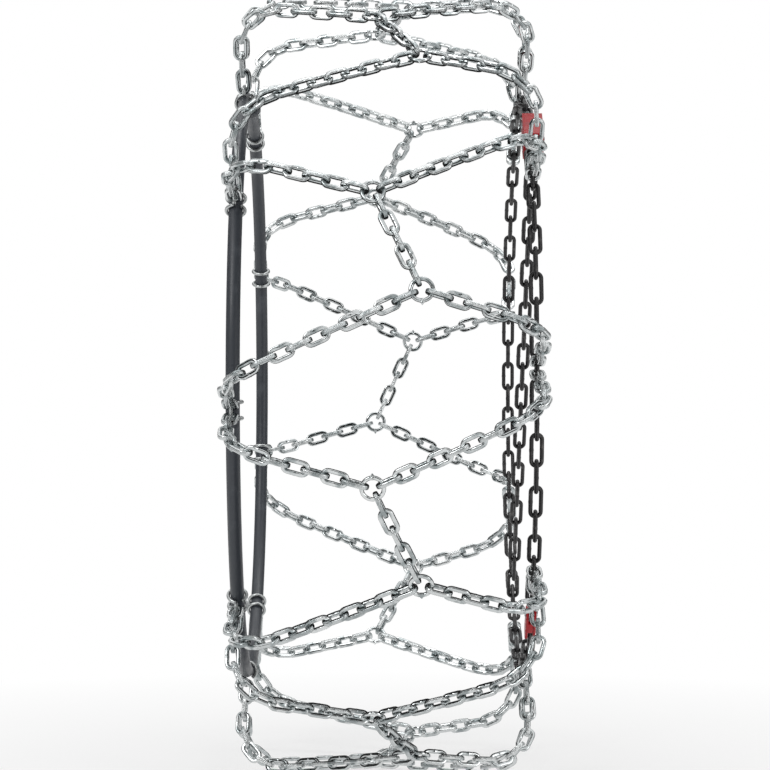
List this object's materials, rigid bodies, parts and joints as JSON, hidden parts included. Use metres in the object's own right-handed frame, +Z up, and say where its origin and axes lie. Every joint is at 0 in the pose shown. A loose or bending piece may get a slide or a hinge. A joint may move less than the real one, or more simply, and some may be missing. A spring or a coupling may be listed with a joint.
{
  "type": "tire snow chain",
  "caption": "Diamond-pattern snow chain in its fitted shape: welded link net with tread rings, inner plastic-sleeved hoop, outer side chain with red closing hook and tension lock.",
  "frame": {"origin": "centre of the wheel that the chain is fitted to, on its axle and midway across the tread", "axes": "+X along the axle to the outer side of the wheel, +Z up, -Y to the front of the tread; angles run from -Y over the top"},
  "size_m": [0.2517, 0.6582, 0.6588],
  "materials": {
    "zinc_steel": "bright zinc-plated",
    "clip_steel": "zinc-plated wire",
    "dark_steel": "black coated, satin",
    "roller_steel": "turned",
    "core_steel": "drawn wire",
    "ferrule_steel": "turned and zinc-plated",
    "hoop_plastic": "satin anthracite",
    "red_paint": "red powder coat"
  },
  "bodies": {
    "net": {"short_strand_1": "zinc_steel", "short_strand_2": "zinc_steel", "short_strand_3": "zinc_steel", "short_strand_4": "zinc_steel", "short_strand_5": "zinc_steel", "short_strand_6": "zinc_steel", "short_strand_7": "zinc_steel", "short_strand_8": "zinc_steel", "short_strand_9": "zinc_steel", "inner_strands_1": "zinc_steel", "inner_strands_2": "zinc_steel", "inner_strands_3": "zinc_steel", "inner_strands_4": "zinc_steel", "inner_strands_5": "zinc_steel", "inner_strands_6": "zinc_steel", "inner_strands_7": "zinc_steel", "inner_strands_8": "zinc_steel", "inner_strands_9": "zinc_steel", "outer_strands_1": "zinc_steel", "outer_strands_2": "zinc_steel", "outer_strands_3": "zinc_steel", "outer_strands_4": "zinc_steel", "outer_strands_5": "zinc_steel", "outer_strands_6": "zinc_steel", "outer_strands_7": "zinc_steel", "outer_strands_8": "zinc_steel", "outer_strands_9": "zinc_steel", "hoop_sleeve": "hoop_plastic", "hoop_core": "core_steel", "hoop_plug_ferrule": "ferrule_steel", "hoop_socket_ferrule": "ferrule_steel", "hoop_clips": "clip_steel", "side_chain": "dark_steel", "closing_hook_body": "red_paint", "closing_hook_rivet": "zinc_steel", "lock_housing": "red_paint", "tension_chain": "dark_steel", "tension_end_hook": "dark_steel"},
    "tread_ring_upper_1": {"tread_ring_upper_1": "zinc_steel"},
    "tread_ring_lower_1": {"tread_ring_lower_1": "zinc_steel"},
    "tread_ring_upper_2": {"tread_ring_upper_2": "zinc_steel"},
    "tread_ring_lower_2": {"tread_ring_lower_2": "zinc_steel"},
    "tread_ring_upper_3": {"tread_ring_upper_3": "zinc_steel"},
    "tread_ring_lower_3": {"tread_ring_lower_3": "zinc_steel"},
    "tread_ring_upper_4": {"tread_ring_upper_4": "zinc_steel"},
    "tread_ring_lower_4": {"tread_ring_lower_4": "zinc_steel"},
    "tread_ring_upper_5": {"tread_ring_upper_5": "zinc_steel"},
    "tread_ring_lower_5": {"tread_ring_lower_5": "zinc_steel"},
    "tread_ring_upper_6": {"tread_ring_upper_6": "zinc_steel"},
    "tread_ring_lower_6": {"tread_ring_lower_6": "zinc_steel"},
    "tread_ring_upper_7": {"tread_ring_upper_7": "zinc_steel"},
    "tread_ring_lower_7": {"tread_ring_lower_7": "zinc_steel"},
    "tread_ring_upper_8": {"tread_ring_upper_8": "zinc_steel"},
    "tread_ring_lower_8": {"tread_ring_lower_8": "zinc_steel"},
    "tread_ring_upper_9": {"tread_ring_upper_9": "zinc_steel"},
    "tread_ring_lower_9": {"tread_ring_lower_9": "zinc_steel"},
    "closing_hook_gate": {"closing_hook_gate": "red_paint"},
    "lock_lever": {"lock_lever": "red_paint"},
    "lock_roller": {"lock_roller": "roller_steel"},
    "hoop_lock_collar": {"hoop_lock_collar": "hoop_plastic"}
  },
  "joints": [
    {"name": "tread_ring_upper_1_turn", "type": "hinge", "parent": "net", "child": "tread_ring_upper_1", "pos_m": [-0.009, -0.31414, -0.076], "axis": [0, -0.972, -0.2351], "range_deg": [-40, 40]},
    {"name": "tread_ring_lower_1_turn", "type": "hinge", "parent": "net", "child": "tread_ring_lower_1", "pos_m": [0.027, -0.31554, 0.06995], "axis": [0, -0.9763, 0.2164], "range_deg": [-40, 40]},
    {"name": "tread_ring_upper_2_turn", "type": "hinge", "parent": "net", "child": "tread_ring_upper_2", "pos_m": [-0.009, -0.28949, 0.14371], "axis": [0, -0.8957, 0.4446], "range_deg": [-40, 40]},
    {"name": "tread_ring_lower_2_turn", "type": "hinge", "parent": "net", "child": "tread_ring_lower_2", "pos_m": [0.027, -0.19675, 0.25641], "axis": [0, -0.6088, 0.7934], "range_deg": [-40, 40]},
    {"name": "tread_ring_upper_3_turn", "type": "hinge", "parent": "net", "child": "tread_ring_upper_3", "pos_m": [-0.009, -0.12939, 0.29617], "axis": [0, -0.4003, 0.9164], "range_deg": [-40, 40]},
    {"name": "tread_ring_lower_3_turn", "type": "hinge", "parent": "net", "child": "tread_ring_lower_3", "pos_m": [0.027, 0.0141, 0.32289], "axis": [0, 0.0436, 0.999], "range_deg": [-40, 40]},
    {"name": "tread_ring_upper_4_turn", "type": "hinge", "parent": "net", "child": "tread_ring_upper_4", "pos_m": [-0.009, 0.09125, 0.31005], "axis": [0, 0.2823, 0.9593], "range_deg": [-40, 40]},
    {"name": "tread_ring_lower_4_turn", "type": "hinge", "parent": "net", "child": "tread_ring_lower_4", "pos_m": [0.027, 0.21835, 0.23829], "axis": [0, 0.6756, 0.7373], "range_deg": [-40, 40]},
    {"name": "tread_ring_upper_5_turn", "type": "hinge", "parent": "net", "child": "tread_ring_upper_5", "pos_m": [-0.009, 0.2692, 0.17886], "axis": [0, 0.8329, 0.5534], "range_deg": [-40, 40]},
    {"name": "tread_ring_lower_5_turn", "type": "hinge", "parent": "net", "child": "tread_ring_lower_5", "pos_m": [0.027, 0.32044, 0.04219], "axis": [0, 0.9914, 0.1305], "range_deg": [-40, 40]},
    {"name": "tread_ring_upper_6_turn", "type": "hinge", "parent": "net", "child": "tread_ring_upper_6", "pos_m": [-0.009, 0.32119, -0.03603], "axis": [0, 0.9938, -0.1115], "range_deg": [-40, 40]},
    {"name": "tread_ring_lower_6_turn", "type": "hinge", "parent": "net", "child": "tread_ring_lower_6", "pos_m": [0.027, 0.27258, -0.17366], "axis": [0, 0.8434, -0.5373], "range_deg": [-40, 40]},
    {"name": "tread_ring_upper_7_turn", "type": "hinge", "parent": "net", "child": "tread_ring_upper_7", "pos_m": [-0.009, 0.22288, -0.23405], "axis": [0, 0.6896, -0.7242], "range_deg": [-40, 40]},
    {"name": "tread_ring_lower_7_turn", "type": "hinge", "parent": "net", "child": "tread_ring_lower_7", "pos_m": [0.027, 0.09719, -0.30824], "axis": [0, 0.3007, -0.9537], "range_deg": [-40, 40]},
    {"name": "tread_ring_upper_8_turn", "type": "hinge", "parent": "net", "child": "tread_ring_upper_8", "pos_m": [-0.009, 0.02029, -0.32256], "axis": [0, 0.0628, -0.998], "range_deg": [-40, 40]},
    {"name": "tread_ring_lower_8_turn", "type": "hinge", "parent": "net", "child": "tread_ring_lower_8", "pos_m": [0.027, -0.12368, -0.2986], "axis": [0, -0.3827, -0.9239], "range_deg": [-40, 40]},
    {"name": "tread_ring_upper_9_turn", "type": "hinge", "parent": "net", "child": "tread_ring_upper_9", "pos_m": [-0.009, -0.19179, -0.26014], "axis": [0, -0.5934, -0.8049], "range_deg": [-40, 40]},
    {"name": "tread_ring_lower_9_turn", "type": "hinge", "parent": "net", "child": "tread_ring_lower_9", "pos_m": [0.027, -0.28668, -0.14924], "axis": [0, -0.887, -0.4617], "range_deg": [-40, 40]},
    {"name": "closing_hook_gate_swing", "type": "hinge", "parent": "net", "child": "closing_hook_gate", "pos_m": [0.1158, -0.15726, -0.18128], "axis": [-1, 0, 0], "range_deg": [0, 70], "stiffness_Nm_per_rad": 0.02},
    {"name": "lock_lever_swing", "type": "hinge", "parent": "net", "child": "lock_lever", "pos_m": [0.1188, -0.11206, 0.20068], "axis": [1, 0, 0], "range_deg": [0, 28], "stiffness_Nm_per_rad": 0.05},
    {"name": "lock_roller_spin", "type": "hinge", "parent": "net", "child": "lock_roller", "pos_m": [0.1188, -0.12738, 0.19064], "axis": [1, 0, 0], "continuous": true},
    {"name": "hoop_lock_collar_slide", "type": "slide", "parent": "net", "child": "hoop_lock_collar", "axis": [0, -0.9954, 0.0958], "range_m": [0, 0.016]}
  ]
}
